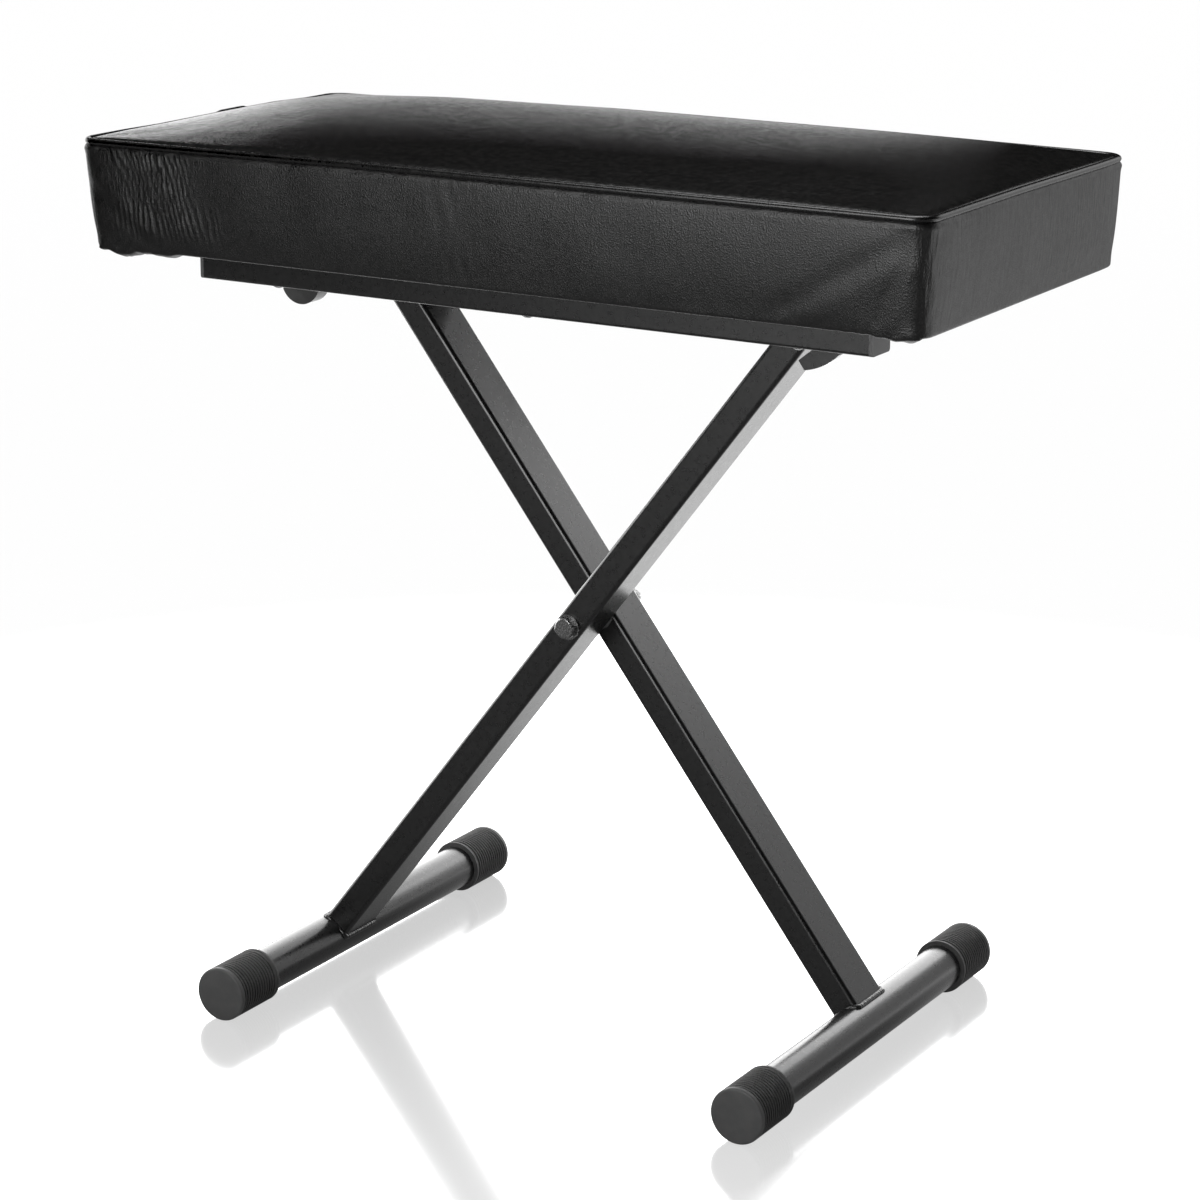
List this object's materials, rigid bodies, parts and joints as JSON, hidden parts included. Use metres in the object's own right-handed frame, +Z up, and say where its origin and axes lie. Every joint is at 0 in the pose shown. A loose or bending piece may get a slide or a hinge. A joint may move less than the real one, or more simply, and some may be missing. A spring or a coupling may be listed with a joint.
{
  "type": "folding bench",
  "caption": "Padded black bench seat on crossed tubular steel legs that fold flat about a pivot bolt, with round foot tubes in ribbed rubber caps.",
  "frame": {"origin": "on the floor under the pivot bolt, in the plane where the two legs meet", "axes": "+X along the seat to the right, +Y from the front to the back, +Z up"},
  "size_m": [0.603, 0.338, 0.5982],
  "materials": {
    "black_vinyl": "grained, semi-gloss",
    "foam": "open-cell foam",
    "plywood": "raw plywood",
    "lining_cloth": "black non-woven cloth",
    "black_plastic": "moulded, satin",
    "black_rubber": "moulded, matt, ribbed",
    "stop_plastic": "moulded, satin",
    "dark_steel": "dark plated",
    "black_paint": "black powder coat, satin"
  },
  "bodies": {
    "seat": {"seat_band": "black_vinyl", "seat_top_panel": "black_vinyl", "seat_piping": "black_vinyl", "seat_foam": "foam", "seat_board": "plywood", "seat_lining": "lining_cloth", "front_rail": "black_paint", "front_rail_left_plug": "black_plastic", "front_rail_right_plug": "black_plastic", "front_stop": "stop_plastic", "front_hook": "black_paint", "front_hinge_strap": "black_paint", "rear_rail": "black_paint", "rear_rail_left_plug": "black_plastic", "rear_rail_right_plug": "black_plastic", "rear_stop": "stop_plastic", "rear_hook": "black_paint", "rear_hinge_strap": "black_paint", "rail_screws": "dark_steel", "strap_screws": "dark_steel"},
    "front_leg": {"front_leg": "black_paint", "left_foot_tube": "black_paint", "left_foot_front_cap": "black_rubber", "left_foot_rear_cap": "black_rubber", "left_foot_weld": "black_paint", "front_top_tube": "black_paint", "front_top_plugs": "black_plastic", "front_top_weld": "black_paint", "pivot_bolt": "dark_steel", "front_washer": "dark_steel", "rear_washer": "dark_steel", "pivot_spacer": "black_plastic", "pivot_nut": "dark_steel"},
    "rear_leg": {"rear_leg": "black_paint", "right_foot_tube": "black_paint", "right_foot_front_cap": "black_rubber", "right_foot_rear_cap": "black_rubber", "right_foot_weld": "black_paint", "rear_top_tube": "black_paint", "rear_top_plugs": "black_plastic", "rear_top_weld": "black_paint", "pivot_bush": "black_plastic"}
  },
  "joints": [
    {"name": "leg_fold", "type": "hinge", "parent": "seat", "child": "front_leg", "pos_m": [0.17472, 0, 0.50053], "axis": [0, 1, 0], "range_deg": [0, 47.5]},
    {"name": "leg_cross", "type": "hinge", "parent": "front_leg", "child": "rear_leg", "pos_m": [0, 0, 0.2736], "axis": [0, -1, 0], "range_deg": [0, 95]}
  ],
  "couplings": [
    {"joint": "leg_cross", "follows": "leg_fold", "ratio": 2}
  ]
}
